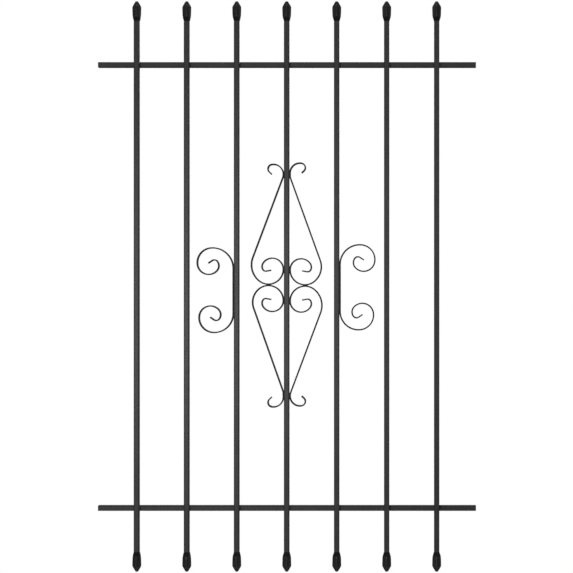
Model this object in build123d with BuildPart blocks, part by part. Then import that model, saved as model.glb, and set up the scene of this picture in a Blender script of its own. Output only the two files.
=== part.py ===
from build123d import *
from math import acos, asin, atan2, ceil, cos, degrees, hypot, pi, radians, sin, sqrt, tan
import os

# Window security grille: seven square tube bars with a spear finial in each end, welded to the front of
# two square tube rails, with bent flat bar scrolls round the middle bar and beside its neighbours.
# Millimetres. X runs along the rails, +Z is up and the front faces -Y. The wall touches the rails at
# Y = 0, and the origin is on the middle of the lower rail's wall face.

# Layout, 914.4 wide and 1377 high over all. The rails run on past the middles of the outer bars,
# and the finials' tips stand beyond the middles of the rails.
bar_count = 7
bar_pitch = 120.65
rail_overhang = 95.25
rail_spacing = 1073.0
tip_overhang = 152.0

# Square tube of the bars and of the rails
bar_size = 12.7
bar_wall = 1.2
bar_corner_radius = 1.0
rail_size = 12.7
rail_wall = 1.2
rail_corner_radius = 1.0

# Spear finial, with its lengths measured down from the tip and its widths across the edges
finial_length = 48.0
head_length = 13.4
body_length = 37.0
head_width = 21.6
body_width = 20.4
tip_width = 5.4
tip_bevel = 1.0
spigot_length = 18.0
spigot_clearance = 0.1
spigot_lead_length = 1.5
spigot_lead_inset = 0.8

# Flat bar of the scrolls, bent the easy way and set with its thin edge to the front. Its bends are
# made of flats that leave the true round by no more than bend_accuracy.
strip_thickness = 3.175
strip_width = 12.7
bend_accuracy = 0.025
weld_gap = 0.2

# S-scroll: from the bar to the end of the hook, and from the bar to the end of the curl, which touches
# the bar a quarter turn after its foot. A bend is its radius and its turn in degrees.
shoulder_radius = 23.7
shoulder_turn = 101.0
hook_radius = 10.7
hook_turn = 126.0
hook_tip_length = 7.5
curl_radius = 36.0
curl_turn = 131.0
s_inner_bends = [(26.7, 144.5), (15.5, 59.0), (8.4, 77.0)]
s_tip_length = 11.5

# What differs from one hand-bent S-scroll to the next: the height from the middle of the grille at which
# its hook touches the bar, how far it then runs along the bar, and the wider bend that leads into its curl
upper_left_hook_height = 271.0
upper_left_seat_length = 1.0
upper_left_lead_radius = 50.0
upper_right_hook_height = 274.0
upper_right_seat_length = 5.5
upper_right_lead_radius = 46.0
lower_left_hook_height = -267.0
lower_left_seat_length = 8.5
lower_left_lead_radius = 42.0
lower_right_hook_height = -264.5
lower_right_seat_length = 0.5
lower_right_lead_radius = 50.0

# Heights from the middle of the grille at which the curls touch each other, left and right of the bar
left_meeting_height = 4.0
right_meeting_height = 2.5

# C-scroll: a straight back on the bar, then a lead and a curl at each end
c_lead_turn = 95.0
c_inner_bends = [(35.5, 95.0), (27.0, 130.0), (17.5, 76.0), (9.3, 88.0)]
c_tip_length = 11.0

# What differs between the C-scrolls: the height of the back's middle from the middle of the grille, the
# back's length, and the bends that lead into the curls
left_c_height = -10.9
left_c_back_length = 108.2
left_c_upper_lead_radius = 50.0
left_c_lower_lead_radius = 46.0
right_c_height = -3.4
right_c_back_length = 113.2
right_c_upper_lead_radius = 47.5
right_c_lower_lead_radius = 44.5

# Weld beads, all on the wall side. The crown is how far a bead stands out past a flat face.
rail_bead_leg = 3.0
rail_bead_crown = 0.4
scroll_bead_length = 12.0
scroll_bead_reach = 1.5
scroll_bead_land = 1.0
scroll_bead_crown = 0.8
scroll_bead_slope = 45.0

# Places that follow from the sizes above
middle_height = rail_spacing / 2
rail_length = (bar_count - 1) * bar_pitch + 2 * rail_overhang
bar_length = rail_spacing + 2 * (tip_overhang - finial_length)
bar_back = -rail_size
bar_middle = bar_back - bar_size / 2
bar_xs = [(i - (bar_count - 1) / 2) * bar_pitch for i in range(bar_count)]
left_bar_x, middle_bar_x, right_bar_x = bar_xs[bar_count // 2 - 1:bar_count // 2 + 2]
strip_back = bar_middle + strip_width / 2
seat_offset = bar_size / 2 + weld_gap + strip_thickness / 2

# Foot of a curl, where it meets the curl above or below, from the curl's seat on the bar
foot_offset = seat_offset + curl_radius
foot_drop = curl_radius + (strip_thickness + weld_gap) / 2

os.makedirs("parts", exist_ok=True)


def finish(builder, name):
    """Labels a finished piece and writes it to its own file."""
    builder.part.label = name
    export_step(builder.part, f"parts/{name}.step")


# Bars and rails

def square_tube(plane, size, wall, corner_radius, length):
    """Square tube along the plane's normal, reaching half its length to each side of the plane.

    Each round corner is drawn as three flats on its arc: a cut at 45 degrees, then one across each
    end of it.
    """
    with BuildPart() as tube:
        with BuildSketch(plane) as section:
            Rectangle(size, size)
            chamfer(section.vertices(), corner_radius * (1 - tan(pi / 8)))
            chamfer(section.vertices(), corner_radius * (tan(pi / 8) - tan(pi / 16)))
            Rectangle(size - 2 * wall, size - 2 * wall, mode=Mode.SUBTRACT)
        extrude(amount=length / 2, both=True)
    return tube


for number, x in enumerate(bar_xs, start=1):
    bar_plane = Plane((x, bar_middle, middle_height))
    finish(square_tube(bar_plane, bar_size, bar_wall, bar_corner_radius, bar_length), f"bar_{number}")

for name, height in (("lower_rail", 0), ("upper_rail", rail_spacing)):
    rail_plane = Plane((0, -rail_size / 2, height), x_dir=(0, 1, 0), z_dir=(1, 0, 0))
    finish(square_tube(rail_plane, rail_size, rail_wall, rail_corner_radius, rail_length), name)


# Finials

def tapered_square(start, width, length, end_width, turn=0, mode=Mode.ADD):
    """Square block that leaves the start plane along its normal and comes to another width at its end.

    A turn of 45 degrees sets it edge to the front.
    """
    inset = (width - end_width) / 2
    with Locations(start):
        Wedge(width, length, width, inset, inset, width - inset, width - inset, rotation=(90, turn, 0),
              align=(Align.CENTER, Align.MIN, Align.CENTER), mode=mode)


def spear_finial(seat):
    """Cast spear on the seat plane, whose normal points to the tip, with its spigot behind the seat.

    The flat sides of the neck turn into the edges of the body. A spreading square and a narrowing
    diamond cross there, and what lies inside both is the collar with its eight three-cornered facets.
    At the seat the diamond passes through the square's corners.
    """
    neck_length = finial_length - body_length
    body_start = seat.offset(neck_length)
    head_start = seat.offset(finial_length - head_length)
    body_side, head_side, tip_side = (width / sqrt(2) for width in (body_width, head_width, tip_width))
    spigot_width = bar_size - 2 * (bar_wall + spigot_clearance)
    shank_length = spigot_length - spigot_lead_length
    with BuildPart() as finial:
        tapered_square(seat, bar_size, neck_length, body_width)
        tapered_square(seat, bar_size * sqrt(2), neck_length, body_side, turn=45, mode=Mode.INTERSECT)
        tapered_square(body_start, body_side, body_length - head_length, head_side, turn=45)
        tapered_square(head_start, head_side, head_length, tip_side, turn=45)
        tip = finial.faces().sort_by(Axis(seat.origin, seat.z_dir))[-1]
        chamfer(tip.edges(), min(tip_bevel, tip_width / 4))
        tapered_square(seat.offset(-shank_length), spigot_width, shank_length, spigot_width)
        tapered_square(seat.offset(-spigot_length), spigot_width - 2 * spigot_lead_inset, spigot_lead_length,
                       spigot_width)
    return finial


for number, x in enumerate(bar_xs, start=1):
    for name, up in (("upper_finial", 1), ("lower_finial", -1)):
        bar_end = (x, bar_middle, middle_height + up * bar_length / 2)
        finish(spear_finial(Plane(bar_end, x_dir=(1, 0, 0), z_dir=(0, 0, up))), f"{name}_{number}")


# Scrolls

def bent_run(start, heading, moves, hand):
    """Points along the centre line of bent strip, each with its heading.

    A straight is given as its length, and a bend as its radius and its turn to the hand.
    """
    points = []
    for move in moves:
        if isinstance(move, tuple):
            radius, turn = move
            run = JernArc(start, heading, radius, hand * turn)
            flats = ceil(radians(abs(turn)) / (2 * acos(1 - bend_accuracy / radius)))
        else:
            run = PolarLine(start, move, direction=heading)
            flats = 1
        points += [(run @ (i / flats), run % (i / flats)) for i in range(1, flats + 1)]
        start, heading = points[-1]
    return points


def crossing_straight(drop, lead_radius):
    """Slope and length of the straight that runs from the shoulder across to the curl's lead.

    Shoulder and curl touch the same side of the bar, with the drop between them, so the straight is the
    inner tangent of two rounds. The lead goes over into the curl's own round curl_turn before the bar.
    """
    widening = lead_radius - curl_radius
    out = curl_radius + widening * cos(radians(curl_turn)) - shoulder_radius
    down = drop - widening * sin(radians(curl_turn))
    radii = shoulder_radius + lead_radius
    slope = degrees(atan2(out, down) + asin(radii / hypot(out, down)))
    return slope, sqrt(out ** 2 + down ** 2 - radii ** 2)


def bent_strip(start, up, first_moves, second_moves, hand):
    """Flat bar bent to two runs from the start.

    The first run leaves the start up (1) or down (-1), and the second the other way.
    """
    first = bent_run(start, (0, up), first_moves, hand)
    second = bent_run(start, (0, -up), second_moves, -hand)
    centre_line = [(point, -heading) for point, heading in reversed(first)]
    centre_line += [(Vector(*start), Vector(0, -up)), *second]
    sideways = [(point, heading.rotate(Axis.Z, 90) * strip_thickness / 2) for point, heading in centre_line]
    with BuildPart() as strip:
        with BuildSketch(Plane.XZ.offset(-strip_back)):
            with BuildLine():
                Polyline(*[point + side for point, side in sideways],
                         *[point - side for point, side in reversed(sideways)], close=True)
            make_face()
        extrude(amount=strip_width)
    return strip


def s_scroll(side, up, hook_height, seat_length, lead_radius, meeting_height):
    """S-scroll on one side of the middle bar (left is -1), with its hook up (1) or down (-1)."""
    seat = (middle_bar_x + side * seat_offset, middle_height + hook_height)
    drop = up * (hook_height - meeting_height) - seat_length - foot_drop
    slope, straight = crossing_straight(drop, lead_radius)
    hook = [(shoulder_radius, shoulder_turn), (hook_radius, hook_turn), hook_tip_length]
    curl = [seat_length, (shoulder_radius, slope), straight, (lead_radius, curl_turn - slope - 180),
            (curl_radius, -curl_turn), *[(radius, -turn) for radius, turn in s_inner_bends], s_tip_length]
    return bent_strip(seat, up, hook, curl, -side * up)


def c_scroll(side, bar_x, height, back_length, upper_lead_radius, lower_lead_radius):
    """C-scroll with its back on one side of a bar and its curls turned away from it."""
    middle = (bar_x + side * seat_offset, middle_height + height)
    runs = [[back_length / 2, (lead_radius, c_lead_turn), *c_inner_bends, c_tip_length]
            for lead_radius in (upper_lead_radius, lower_lead_radius)]
    return bent_strip(middle, 1, *runs, -side)


s_scrolls = {
    "upper_left": s_scroll(-1, 1, upper_left_hook_height, upper_left_seat_length, upper_left_lead_radius,
                           left_meeting_height),
    "upper_right": s_scroll(1, 1, upper_right_hook_height, upper_right_seat_length, upper_right_lead_radius,
                            right_meeting_height),
    "lower_left": s_scroll(-1, -1, lower_left_hook_height, lower_left_seat_length, lower_left_lead_radius,
                           left_meeting_height),
    "lower_right": s_scroll(1, -1, lower_right_hook_height, lower_right_seat_length, lower_right_lead_radius,
                            right_meeting_height),
}
for name, scroll in s_scrolls.items():
    finish(scroll, f"s_scroll_{name}")

c_scrolls = {
    "left": c_scroll(-1, left_bar_x, left_c_height, left_c_back_length, left_c_upper_lead_radius,
                     left_c_lower_lead_radius),
    "right": c_scroll(1, right_bar_x, right_c_height, right_c_back_length, right_c_upper_lead_radius,
                      right_c_lower_lead_radius),
}
for name, scroll in c_scrolls.items():
    finish(scroll, f"c_scroll_{name}")


# Weld beads

with BuildPart() as rail_welds:
    for rail_height in (0, rail_spacing):
        for up in (1, -1):
            root = (bar_back, rail_height + up * rail_size / 2)
            bulge = rail_bead_leg / 2 + rail_bead_crown / sqrt(2)
            with BuildSketch(*[Plane.YZ.offset(x) for x in bar_xs]):
                with BuildLine():
                    Polyline(root, (root[0], root[1] + up * rail_bead_leg),
                             (root[0] + bulge, root[1] + up * bulge),
                             (root[0] + rail_bead_leg, root[1]), close=True)
                make_face()
            extrude(amount=bar_size / 2 - bar_corner_radius, both=True)
finish(rail_welds, "rail_welds")


def flat_bead(plane, width):
    """Bead along the plane's normal that bridges a groove on the wall side (local +Y)."""
    with BuildPart() as bead:
        with BuildSketch(plane):
            with Locations((0, scroll_bead_crown / 2)):
                Trapezoid(width, scroll_bead_crown, scroll_bead_slope)
        extrude(amount=scroll_bead_length / 2, both=True)
    return bead.part


def beads_on_bar(bar_x, side, heights):
    """Beads between the back of a bar and the strips that touch its side at the given heights."""
    width = scroll_bead_land + bar_corner_radius + weld_gap + scroll_bead_reach
    x = bar_x + side * (bar_size / 2 + weld_gap + scroll_bead_reach - width / 2)
    return [flat_bead(Plane((x, strip_back, middle_height + height)), width) for height in heights]


with BuildPart() as scroll_welds:
    for side, hooks, meeting in (
        (-1, (upper_left_hook_height, lower_left_hook_height), left_meeting_height),
        (1, (upper_right_hook_height, lower_right_hook_height), right_meeting_height),
    ):
        add(beads_on_bar(middle_bar_x, side, (*hooks, meeting + foot_drop, meeting - foot_drop)))
        foot = (middle_bar_x + side * foot_offset, strip_back, middle_height + meeting)
        add(flat_bead(Plane(foot, x_dir=(0, 0, -1), z_dir=(1, 0, 0)), weld_gap + 2 * scroll_bead_reach))
    for side, bar_x, height, back_length in (
        (-1, left_bar_x, left_c_height, left_c_back_length),
        (1, right_bar_x, right_c_height, right_c_back_length),
    ):
        stitch = (back_length - scroll_bead_length) / 2
        add(beads_on_bar(bar_x, side, (height + stitch, height - stitch)))
finish(scroll_welds, "scroll_welds")
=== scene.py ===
import math

import bmesh
import bpy
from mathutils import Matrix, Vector


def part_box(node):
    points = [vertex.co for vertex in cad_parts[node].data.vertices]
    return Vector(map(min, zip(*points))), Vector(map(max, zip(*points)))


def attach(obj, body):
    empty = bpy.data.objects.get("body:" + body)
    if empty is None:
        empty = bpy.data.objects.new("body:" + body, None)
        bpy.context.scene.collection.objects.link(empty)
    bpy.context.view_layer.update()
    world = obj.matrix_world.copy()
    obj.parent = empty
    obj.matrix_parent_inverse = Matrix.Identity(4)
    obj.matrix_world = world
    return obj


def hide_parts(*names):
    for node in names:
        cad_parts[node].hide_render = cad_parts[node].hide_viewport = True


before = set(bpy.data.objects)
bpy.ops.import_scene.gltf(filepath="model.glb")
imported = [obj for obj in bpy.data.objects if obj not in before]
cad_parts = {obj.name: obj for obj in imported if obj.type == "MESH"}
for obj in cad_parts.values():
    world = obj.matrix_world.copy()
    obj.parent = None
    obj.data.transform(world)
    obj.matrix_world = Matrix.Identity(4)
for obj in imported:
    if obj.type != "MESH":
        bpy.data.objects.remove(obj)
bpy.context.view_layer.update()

# The photographer's set: the grille hung square to a camera that stands a little to its right, and looked at
# through a lens shifted back towards it, so that bars and rails stay straight and true.
ELEVATION_WIDTH = 1.3805
CAMERA_DISTANCE = 3.25
CAMERA_SIDESTEP = 0.29
SENSOR = 36.0

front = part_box("bar_1")[0].y
middle_height = (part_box("lower_rail")[0].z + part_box("upper_rail")[1].z) / 2
camera_data = bpy.data.cameras.new("camera")
camera_data.sensor_width = SENSOR
camera_data.lens = SENSOR * CAMERA_DISTANCE / ELEVATION_WIDTH
camera_data.shift_x = -CAMERA_SIDESTEP / ELEVATION_WIDTH
camera = bpy.data.objects.new("camera", camera_data)
camera.location = (CAMERA_SIDESTEP, front - CAMERA_DISTANCE, middle_height)
camera.rotation_euler = (math.radians(90), 0, 0)
bpy.context.scene.collection.objects.link(camera)
bpy.context.scene.camera = camera
bpy.context.scene.view_settings.view_transform = "Standard"

# The studio: a white surround that the camera and the paint's reflections see. A key softbox beside the camera
# on its left gives the flat faces their sheen, strongest half way up, and a weaker one stands high on its right.
# The one above lights the slopes of the spear heads.
AMBIENT = 0.3
WHITE = "#ffffff"


def linear(hex_code):
    """An sRGB hex colour as the linear one that the shaders take."""
    channels = [int(hex_code[i:i + 2], 16) / 255 for i in (1, 3, 5)]
    return (*[c / 12.92 if c <= 0.04045 else ((c + 0.055) / 1.055) ** 2.4 for c in channels], 1)


def add_node(tree, kind, links=None, **settings):
    """Adds a shader node. Links name its input sockets and the sockets or values that feed them."""
    node = tree.nodes.new(kind)
    for name, value in settings.items():
        setattr(node, name, value)
    for socket, source in (links or {}).items():
        if isinstance(source, bpy.types.NodeSocket):
            tree.links.new(source, node.inputs[socket])
        else:
            node.inputs[socket].default_value = source
    return node


world = bpy.data.worlds.new("white surround")
world.use_nodes = True
bpy.context.scene.world = world
tree = world.node_tree
tree.nodes.clear()
ray = add_node(tree, "ShaderNodeLightPath")
seen = add_node(tree, "ShaderNodeMath", {0: ray.outputs["Is Camera Ray"], 1: ray.outputs["Is Glossy Ray"]},
                operation="ADD")
seen = add_node(tree, "ShaderNodeMath", {0: seen.outputs[0], 1: ray.outputs["Is Transmission Ray"]},
                operation="ADD", use_clamp=True)
plain = add_node(tree, "ShaderNodeBackground", {"Color": linear(WHITE), "Strength": AMBIENT})
white = add_node(tree, "ShaderNodeBackground", {"Color": linear(WHITE), "Strength": 1.0})
mixed = add_node(tree, "ShaderNodeMixShader", {0: seen.outputs[0], 1: plain.outputs[0], 2: white.outputs[0]})
add_node(tree, "ShaderNodeOutputWorld", {"Surface": mixed.outputs[0]})


def softbox(name, centre, aim, width, height, power):
    """Hangs a softbox at its centre, turned to the point that it aims at. Power is in watts."""
    light = bpy.data.lights.new(name, "AREA")
    light.shape = "RECTANGLE"
    light.size = width
    light.size_y = height
    light.energy = power
    lamp = bpy.data.objects.new(name, light)
    lamp.location = centre
    lamp.rotation_euler = (Vector(aim) - Vector(centre)).to_track_quat("-Z", "Y").to_euler()
    bpy.context.scene.collection.objects.link(lamp)


softbox("key softbox", (-0.74, -3.4, 0.42), (-0.1, 0, 0.54), 0.7, 0.6, 124)
softbox("high softbox", (0.45, -3.4, 1.3), (0.3, 0, 0.8), 0.5, 0.5, 16)
softbox("top softbox", (0, -0.7, 3.4), (0, 0, 1.2), 1.6, 0.3, 70)
softbox("back softbox", (0.4, 3.0, 2.6), (0, 0, 0.5), 1.6, 1.0, 260)
softbox("left softbox", (-2.6, 2.2, 1.9), (0, 0, 0.5), 1.0, 1.6, 90)
softbox("right softbox", (2.6, 2.2, 1.9), (0, 0, 0.5), 1.0, 1.6, 90)

# The floor: a round of matt white board lying below the grille, which hangs clear of it. It takes the grille's
# soft shadow, and towards its rim it fades into the surround.
FLOOR = "#f4f3f1"
FLOOR_HEIGHT = -1.05
FLOOR_RADIUS = 2.2
FADE_START = 1.5
FADE_END = 2.4
RIM_POINTS = 96

floor_mesh = bpy.data.meshes.new("floor")
rim = [(FLOOR_RADIUS * math.cos(a), FLOOR_RADIUS * math.sin(a), FLOOR_HEIGHT)
       for a in (math.tau * i / RIM_POINTS for i in range(RIM_POINTS))]
floor_mesh.from_pydata(rim, [], [range(RIM_POINTS)])
floor = bpy.data.objects.new("floor", floor_mesh)
bpy.context.scene.collection.objects.link(floor)
board = bpy.data.materials.new("matt white board")
board.use_nodes = True
tree = board.node_tree
tree.nodes.clear()
place = add_node(tree, "ShaderNodeTexCoord")
far = add_node(tree, "ShaderNodeVectorMath", {0: place.outputs["Object"]}, operation="LENGTH")
fade = add_node(tree, "ShaderNodeMapRange", {"Value": far.outputs["Value"], "From Min": FADE_START,
                                             "From Max": FADE_END}, interpolation_type="SMOOTHSTEP")
surface = add_node(tree, "ShaderNodeBsdfDiffuse", {"Color": linear(FLOOR)})
glow = add_node(tree, "ShaderNodeEmission", {"Color": linear(WHITE), "Strength": 1.0})
mixed = add_node(tree, "ShaderNodeMixShader", {0: fade.outputs[0], 1: surface.outputs[0], 2: glow.outputs[0]})
add_node(tree, "ShaderNodeOutputMaterial", {"Surface": mixed.outputs[0]})
floor_mesh.materials.append(board)

# Bars. Seven upright lengths of half-inch square steel tube, rolled from strip and welded along an inside face,
# so the corners are softly round. Satin black enamel is sprayed on after the whole grille is welded up.
MM = 0.001
CORNER_RADIUS = 0.7 * MM
CORNER_STEPS = 5
DULL_RIM = 1.6 * MM
TUBE_WALL = 1.2 * MM
SAW_BURR = 0.25 * MM
WELD_FLASH = 0.45 * MM
FLASH_HALF_WIDTH = 1.0 * MM


def skin(bm, rings):
    """Adds the faces between each ring of vertices and the next."""
    for first, second in zip(rings, rings[1:]):
        for i in range(len(first)):
            j = (i + 1) % len(first)
            bm.faces.new((first[i], first[j], second[j], second[i]))


def finished(name, bm, node, material, crease=35):
    """Makes the mesh one smooth-shaded piece that stands for a CAD node. Edges over the crease angle stay sharp."""
    mesh = bpy.data.meshes.new(name)
    bm.to_mesh(mesh)
    bm.free()
    mesh.polygons.foreach_set("use_smooth", [True] * len(mesh.polygons))
    mesh.set_sharp_from_angle(angle=math.radians(crease))
    mesh.materials.append(material)
    piece = bpy.data.objects.new(name, mesh)
    bpy.context.scene.collection.objects.link(piece)
    flat = piece.modifiers.new("flat faces stay flat", "WEIGHTED_NORMAL")
    flat.keep_sharp = True
    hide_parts(node)
    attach(piece, "root")
    return piece


def tube_section(half, radius, inset=0.0, flash=0.0):
    """A square with round corners as (u, v, dull) points, with dull 1 on a corner and 0 past the rim beside it.

    One side has three more points in its middle, where the flash of the tube's weld runs inside.
    """
    points = []
    side = half - radius
    for corner in range(4):
        turn = math.radians(90 * corner)
        run = [(half - inset, side - DULL_RIM, 0)]
        for step in range(CORNER_STEPS + 1):
            a = math.radians(90 * step / CORNER_STEPS)
            run.append((side + (radius - inset) * math.cos(a), side + (radius - inset) * math.sin(a), 1))
        run.append((side - DULL_RIM, half - inset, 0))
        if corner == 0:
            run += [(reach * FLASH_HALF_WIDTH, half - inset - rise * flash, 0)
                    for reach, rise in ((1, 0), (0, 1), (-1, 0))]
        points += [(x * math.cos(turn) - y * math.sin(turn), x * math.sin(turn) + y * math.cos(turn), dull)
                   for x, y, dull in run]
    return points


def square_tube(low, high, along):
    """Tube filling the box from low to high, open at both ends, which are sawn and lightly deburred."""
    bm = bmesh.new()
    dullness = bm.verts.layers.float.new("dull")
    across = [axis for axis in range(3) if axis != along]
    middle = (low + high) / 2
    half = (high[across[0]] - low[across[0]]) / 2

    def ring(section, place):
        verts = []
        for u, v, dull in section:
            co = Vector((0, 0, 0))
            co[along] = place
            co[across[0]] = middle[across[0]] + u
            co[across[1]] = middle[across[1]] + v
            verts.append(bm.verts.new(co))
            verts[-1][dullness] = dull
        return verts

    outer = tube_section(half, CORNER_RADIUS)
    sawn = tube_section(half, CORNER_RADIUS, inset=SAW_BURR)
    inner = tube_section(half - TUBE_WALL, CORNER_RADIUS / 2, flash=WELD_FLASH)
    rings = [ring(inner, high[along]), ring(inner, low[along]), ring(sawn, low[along]),
             ring(outer, low[along] + SAW_BURR), ring(outer, high[along] - SAW_BURR), ring(sawn, high[along])]
    skin(bm, rings + rings[:1])
    bmesh.ops.recalc_face_normals(bm, faces=bm.faces)
    return bm


# Satin enamel mirrors little of what it faces, and at a glancing look its fine texture spreads even that. It dries
# with an orange peel of 1 to 2 mm, drawn at 3.5 mm so that the render shows it, and its coat is thicker and thinner
# in clouds. Sizes are in millimetres, and a span is where the values of a noise mostly lie.
SHEEN = 0.1
GLANCE_START = 0.08
GLANCE_END = 0.5
PEEL_SIZE = 3.5
PEEL_DEPTH = 0.12
PEEL_SPAN = (0.3, 0.7)
CLOUD_SIZE = 40.0
CLOUD_SPAN = (0.35, 0.65)
GLOSS_SPREAD = 0.03


def satin_enamel(name, thick, thin, gloss, marks, depth):
    """Black enamel with its colours where the coat is thick and thin, over steel whose own marks show through.

    Marks are the size of the steel's marks along x, y and z, and depth is how deep they are, in millimetres.
    Where the mesh says that it is dull, as on the tube's corners, the spray has dried matt. On the spears and the
    strips, both colours also hold painted shade.
    """
    material = bpy.data.materials.new(name)
    material.use_nodes = True
    tree = material.node_tree
    shader = tree.nodes["Principled BSDF"]
    shader.inputs["Specular IOR Level"].default_value = SHEEN
    place = add_node(tree, "ShaderNodeTexCoord").outputs["Object"]
    steel = add_node(tree, "ShaderNodeMapping", {"Vector": place, "Scale": [1 / (size * MM) for size in marks]})
    steel = add_node(tree, "ShaderNodeTexNoise", {"Vector": steel.outputs[0], "Scale": 1.0, "Detail": 3.0})
    peel = add_node(tree, "ShaderNodeTexNoise", {"Vector": place, "Scale": 1 / (PEEL_SIZE * MM), "Detail": 2.0})
    cloud = add_node(tree, "ShaderNodeTexNoise", {"Vector": place, "Scale": 1 / (CLOUD_SIZE * MM), "Detail": 4.0})
    steel_bump = add_node(tree, "ShaderNodeBump", {"Height": steel.outputs["Fac"], "Distance": depth * MM,
                                                   "Strength": 1.0})
    peel_bump = add_node(tree, "ShaderNodeBump", {"Height": peel.outputs["Fac"], "Distance": PEEL_DEPTH * MM,
                                                  "Strength": 1.0, "Normal": steel_bump.outputs[0]})
    coat = add_node(tree, "ShaderNodeMapRange", {"Value": cloud.outputs["Fac"], "From Min": CLOUD_SPAN[0],
                                                 "From Max": CLOUD_SPAN[1]})
    colour = add_node(tree, "ShaderNodeMix", {0: coat.outputs[0], 6: linear(thick), 7: linear(thin)},
                      data_type="RGBA")
    even = add_node(tree, "ShaderNodeMapRange", {"Value": peel.outputs["Fac"], "From Min": PEEL_SPAN[0],
                                                 "From Max": PEEL_SPAN[1], "To Min": gloss - GLOSS_SPREAD,
                                                 "To Max": gloss + GLOSS_SPREAD})
    look = add_node(tree, "ShaderNodeLayerWeight", {"Blend": 0.5})
    glance = add_node(tree, "ShaderNodeMapRange", {"Value": look.outputs["Facing"], "From Min": GLANCE_START,
                                                   "From Max": GLANCE_END})
    dull = add_node(tree, "ShaderNodeAttribute", attribute_name="dull")
    dull = add_node(tree, "ShaderNodeMath", {0: glance.outputs[0], 1: dull.outputs["Fac"]}, operation="MAXIMUM")
    rough = add_node(tree, "ShaderNodeMix", {0: dull.outputs[0], 2: even.outputs[0], 3: 1.0})
    tree.links.new(colour.outputs[2], shader.inputs["Base Color"])
    tree.links.new(rough.outputs[0], shader.inputs["Roughness"])
    tree.links.new(peel_bump.outputs[0], shader.inputs["Normal"])
    return material


# The die that draws the tube leaves faint lines along it, which dull the light that the flat faces send back.
TUBE_COAT = {"thick": "#121212", "thin": "#171717", "gloss": 0.43, "depth": 0.015}

bar_enamel = satin_enamel("satin black enamel on drawn bar tube", marks=(1.5, 1.5, 80), **TUBE_COAT)
for number in range(1, 8):
    low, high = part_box(f"bar_{number}")
    bar = finished(f"bar_tube_{number}", square_tube(low, high, along=2), f"bar_{number}", bar_enamel)

# Rails. Two lengths of the same tube lie level behind the bars and reach past the outer ones. Their ends are
# sawn and left open, so the tube's wall and the flash of its inside weld can be seen there.
rail_enamel = satin_enamel("satin black enamel on drawn rail tube", marks=(80, 1.5, 1.5), **TUBE_COAT)
for place in ("lower", "upper"):
    low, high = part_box(f"{place}_rail")
    rail = finished(f"{place}_rail_tube", square_tube(low, high, along=0), f"{place}_rail", rail_enamel)

# Finials. Fourteen iron spears, one driven into each end of each bar. They are cast in a sand mould of two halves
# that meet along the side edges, where a faint ridge is left, and their edges and their collars are softly round.
TIP_WIDTH = 5.4 * MM
TIP_ROUNDING = 1.2 * MM
HEAD_LENGTH = 13.4 * MM
HEAD_WIDTH = 21.6 * MM
BODY_LENGTH = 37.0 * MM
BODY_WIDTH = 20.4 * MM
NECK_SPREAD = 25.4 * MM
SOFTNESS = 1.5
EDGE_KEENNESS = 16
PARTING_RIDGE = 0.15 * MM
DULL_FADE = 2.0 * MM
FINIAL_STATIONS = 64
FINIAL_SIDES = 64
STATION_CROWDING = 1.2


def between(x, x0, x1, y0, y1):
    """What goes in a straight line from y0 at x0 to y1 at x1, at x."""
    return y0 + (y1 - y0) * (x - x0) / (x1 - x0)


def keen_min(*sizes):
    """The least of the sizes, rounded off where two of them come close."""
    return sum(size ** -EDGE_KEENNESS for size in sizes) ** (-1 / EDGE_KEENNESS)


def reach_to(corner, keenness, c, s):
    """How far an outline lies from its middle towards (c, s): 1 is a diamond, 2 is round and 16 nearly square."""
    return corner / (c ** keenness + s ** keenness) ** (1 / keenness)


def spear(low, high, up, bar_half):
    """Spear between its seat on the bar and its tip, as rings round an upright line that crowd towards the tip.

    Each ring is what a diamond and a square have in common. The square only cuts in at the collar.
    """
    bm = bmesh.new()
    dullness = bm.verts.layers.float.new("dull")
    seat, tip = (low.z, high.z) if up else (high.z, low.z)
    length = abs(tip - seat)
    x, y = (low.x + high.x) / 2, (low.y + high.y) / 2
    rings = []
    for i in range(1, FINIAL_STATIONS + 1):
        down = length * (i / FINIAL_STATIONS) ** STATION_CROWDING
        dome = between(down, 0, TIP_ROUNDING, TIP_WIDTH / 4, TIP_WIDTH * 3 / 4)
        head = between(down, 0, HEAD_LENGTH, TIP_WIDTH / 2, HEAD_WIDTH / 2)
        body = between(down, HEAD_LENGTH, BODY_LENGTH, HEAD_WIDTH / 2, BODY_WIDTH / 2)
        collar = between(down, BODY_LENGTH, length, BODY_WIDTH / 2, NECK_SPREAD / 2)
        diamond = keen_min(dome, head, max(body, collar))
        square = between(down, length, BODY_LENGTH, bar_half, BODY_WIDTH / 2)
        ring = []
        for side in range(FINIAL_SIDES):
            a = math.tau * side / FINIAL_SIDES
            c, s = abs(math.cos(a)), abs(math.sin(a))
            reach = keen_min(reach_to(diamond, SOFTNESS, c, s), reach_to(square, EDGE_KEENNESS, c, s))
            if side % (FINIAL_SIDES // 2) == 0:
                reach += PARTING_RIDGE
            vert = bm.verts.new((x + reach * math.cos(a), y + reach * math.sin(a),
                                 tip + (seat - tip) / length * down))
            vert[dullness] = min(max(between(down, BODY_LENGTH, BODY_LENGTH + DULL_FADE, 0, 1), 0), 1)
            ring.append(vert)
        rings.append(ring)
    skin(bm, rings)
    point = bm.verts.new((x, y, tip))
    for i in range(FINIAL_SIDES):
        bm.faces.new((point, rings[0][i], rings[0][(i + 1) % FINIAL_SIDES]))
    bm.faces.new(rings[-1])
    bmesh.ops.recalc_face_normals(bm, faces=bm.faces)
    return bm
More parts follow.
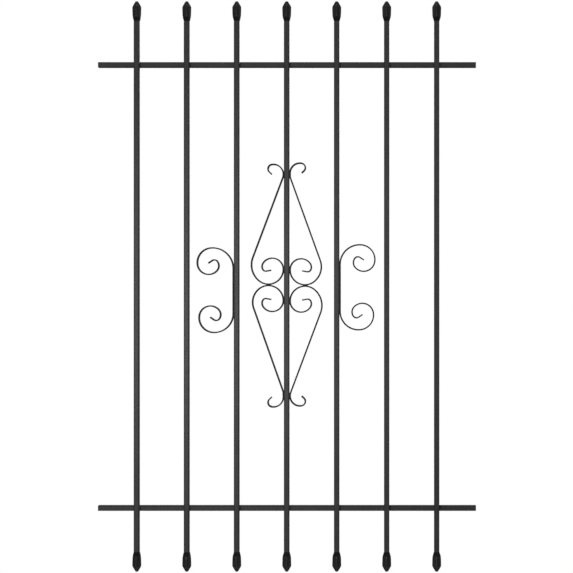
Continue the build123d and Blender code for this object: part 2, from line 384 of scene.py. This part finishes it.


# The sand leaves a grain of about 0.5 mm, drawn at 2.5 mm so that it breaks up the highlights in the render. The
# spigot is out of sight inside the bar, so a spear starts at the bar's end.
# Both colours here are painted darker than the bars' enamel: painted shade for the spear's facets that turn away
# from the lamps.
shaded_casting_enamel = satin_enamel("satin black enamel on sand-cast iron", thick="#070707", thin="#0a0a0a", gloss=0.4,
                              marks=(2.5, 2.5, 2.5), depth=0.3)
for number in range(1, 8):
    bar_low, bar_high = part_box(f"bar_{number}")
    for place, up in (("upper", True), ("lower", False)):
        low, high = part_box(f"{place}_finial_{number}")
        low, high = (Vector((*low.xy, bar_high.z)), high) if up else (low, Vector((*high.xy, bar_low.z)))
        casting = finished(f"{place}_spear_{number}", spear(low, high, up, (bar_high.x - bar_low.x) / 2),
                           f"{place}_finial_{number}", shaded_casting_enamel, crease=50)

# Scrolls. Flat bar, 1/8 by 1/2 inch with round mill edges, bent cold round pins on a jig and set with its thin
# edge to the front. Four make the diamond round the middle bar, and two stand beside it.
MILL_EDGE = 0.35 * MM
COAT_THICKNESS = 0.07 * MM
SAME_PLACE = 0.001 * MM
FLAT_ANGLE = 0.5
EDGE_ANGLE = 45


def node_mesh(node):
    """A copy of a CAD node's mesh with its faces joined where they meet."""
    bm = bmesh.new()
    bm.from_mesh(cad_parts[node].data)
    bmesh.ops.remove_doubles(bm, verts=bm.verts, dist=SAME_PLACE)
    return bm


def bent_bar(node):
    """The bent bar as the frame has it, with its long edges and its cut ends rounded, and its coat laid on."""
    bm = node_mesh(node)
    bmesh.ops.dissolve_limit(bm, angle_limit=math.radians(FLAT_ANGLE), verts=bm.verts, edges=bm.edges)
    edges = [edge for edge in bm.edges if edge.calc_face_angle(0) > math.radians(EDGE_ANGLE)]
    bmesh.ops.bevel(bm, geom=edges, offset=MILL_EDGE, segments=3, profile=0.5, affect="EDGES")
    bm.normal_update()
    coat = [vert.normal * COAT_THICKNESS for vert in bm.verts]
    for vert, step in zip(bm.verts, coat):
        vert.co += step
    return bm


# Hot rolling leaves a skin of scale in patches about 4 mm across, and the coat over it looks rougher than on tube.
# Both colours here are painted darker than the tube's enamel: painted shade on the thin strips.
shaded_strip_enamel = satin_enamel("satin black enamel on rolled flat bar", thick="#080808", thin="#0c0c0c", gloss=0.62,
                            marks=(4, 4, 4), depth=0.15)
for node in ("s_scroll_upper_left", "s_scroll_upper_right", "s_scroll_lower_left", "s_scroll_lower_right",
             "c_scroll_left", "c_scroll_right"):
    strip = finished(f"{node}_strip", bent_bar(node), node, shaded_strip_enamel, crease=40)

# Welds. Short beads on the wall side, run with wire: a fillet above and below each rail where it crosses a bar,
# and one over each groove where a scroll touches. Each shows the ripples that the pool froze in.
RIPPLE_PITCH = 1.6 * MM
RIPPLE_SHARE = 0.25
RIPPLE_LEAN = 0.5 * MM
BEAD_END_FULLNESS = 6
BEAD_END_WIDTH = 0.6
BEAD_STATIONS = 48
BEAD_POINTS = 8
FILLET_ROOT = 0.2
FILLET_CROWN = 0.3
GROOVE_ROOT = 0.5
GROOVE_CROWN = 1.2


def solid_boxes(node):
    """Lowest and highest corner of each separate solid of a node."""
    bm = node_mesh(node)
    reached, boxes = set(), []
    for first in bm.verts:
        if first in reached:
            continue
        solid, waiting = set(), [first]
        while waiting:
            vert = waiting.pop()
            if vert not in solid:
                solid.add(vert)
                waiting += [edge.other_vert(vert) for edge in vert.link_edges]
        reached |= solid
        boxes.append(tuple(Vector([pick(vert.co[axis] for vert in solid) for axis in range(3)])
                           for pick in (min, max)))
    bm.free()
    return boxes


def add_bead(bm, start, end, first_foot, second_foot, root, crown):
    """Adds a bead from start to end. Feet, root and crown are measured from the line between them.

    It thins to its ends, and its crown rises and falls with the ripples.
    """
    run = end - start
    across = (second_foot - first_foot) / 2
    rings = []
    for i in range(BEAD_STATIONS + 1):
        t = i / BEAD_STATIONS
        full = math.sqrt(max(0, 1 - abs(2 * t - 1) ** BEAD_END_FULLNESS))
        wide = BEAD_END_WIDTH + (1 - BEAD_END_WIDTH) * full
        ripple = 1 - RIPPLE_SHARE * (1 - abs(math.cos(math.pi * t * run.length / RIPPLE_PITCH)))
        ring = []
        for j in range(BEAD_POINTS + 1):
            u = 2 * j / BEAD_POINTS - 1
            lift = 1 - u * u
            lean = run.normalized() * RIPPLE_LEAN * lift * full
            ring.append(bm.verts.new(start + run * t + (first_foot + second_foot) / 2 + lean
                                     + across * u * wide + crown * lift * ripple * full))
        ring.append(bm.verts.new(start + run * t + root))
        rings.append(ring)
    skin(bm, rings)
    bm.faces.new(rings[0])
    bm.faces.new(rings[-1])


# Bare weld metal is smooth but for spatter of about 1 mm.
bead_enamel = satin_enamel("satin black enamel on weld bead", thick="#101010", thin="#151515", gloss=0.45,
                           marks=(1.0, 1.0, 1.0), depth=0.03)
bar_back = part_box("bar_1")[1].y
beads = bmesh.new()
for low, high in solid_boxes("rail_welds"):
    middle = (low.z + high.z) / 2
    rail = min((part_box(f"{place}_rail") for place in ("lower", "upper")),
               key=lambda box: abs((box[0].z + box[1].z) / 2 - middle))
    up = 1 if middle > (rail[0].z + rail[1].z) / 2 else -1
    corner = low.z if up == 1 else high.z
    leg = high.y - bar_back
    outward = Vector((0, 1, up))
    add_bead(beads, Vector((low.x, bar_back, corner)), Vector((high.x, bar_back, corner)), Vector((0, leg, 0)),
             Vector((0, 0, up * leg)), outward * -FILLET_ROOT * leg, outward * FILLET_CROWN * leg)
bmesh.ops.recalc_face_normals(beads, faces=beads.faces)
finished("rail_weld_beads", beads, "rail_welds", bead_enamel, crease=60)

beads = bmesh.new()
for low, high in solid_boxes("scroll_welds"):
    along = 2 if high.z - low.z > high.x - low.x else 0
    across = 2 - along
    start = (low + high) / 2
    start.y = low.y
    end = start.copy()
    start[along], end[along] = low[along], high[along]
    foot = Vector((0, 0, 0))
    foot[across] = (high[across] - low[across]) / 2
    outward = Vector((0, high.y - low.y, 0))
    add_bead(beads, start, end, -foot, foot, outward * -GROOVE_ROOT, outward * GROOVE_CROWN)
bmesh.ops.recalc_face_normals(beads, faces=beads.faces)
finished("scroll_weld_beads", beads, "scroll_welds", bead_enamel, crease=60)
